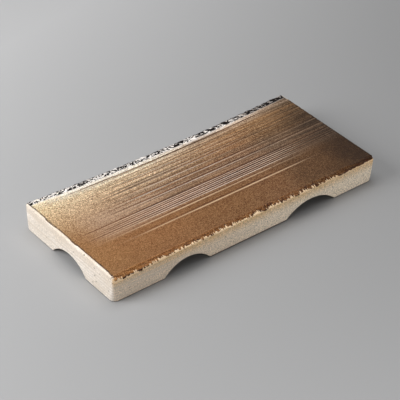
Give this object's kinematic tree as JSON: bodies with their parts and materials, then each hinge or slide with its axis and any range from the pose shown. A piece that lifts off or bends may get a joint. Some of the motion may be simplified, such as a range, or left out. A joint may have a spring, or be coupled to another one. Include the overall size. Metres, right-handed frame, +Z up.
{
  "type": "rectangular serving plate",
  "caption": "Low board-shaped stoneware serving plate with a combed bronze-glazed deck, torn rear edge, hewn front edge and finger arches in its clay walls.",
  "frame": {"origin": "on the surface the plate stands on, under the middle of its box", "axes": "+X along the plate to its right end, +Y to the torn rear edge, +Z up out of the deck; the hewn front edge faces -Y"},
  "size_m": [0.35, 0.153, 0.0322],
  "materials": {
    "stoneware_clay": "unglazed cream stoneware, matte, with fine sand and iron specks",
    "bronze_glaze": "semi-gloss bronze glaze, golden to dark brown, with fine speckle and combed lines",
    "black_brown_glaze": "glossy black-brown glaze, thick and lumpy",
    "dark_brown_glaze": "dark brown glaze that breaks to cream on the crests"
  },
  "bodies": {
    "root": {"deck_slab": "stoneware_clay", "front_wall": "stoneware_clay", "rear_wall": "stoneware_clay", "left_end_wall": "stoneware_clay", "right_end_wall": "stoneware_clay", "seam_coil": "stoneware_clay", "deck_glaze": "bronze_glaze", "rear_torn_edge": "black_brown_glaze", "front_hewn_edge": "dark_brown_glaze"}
  },
  "joints": []
}
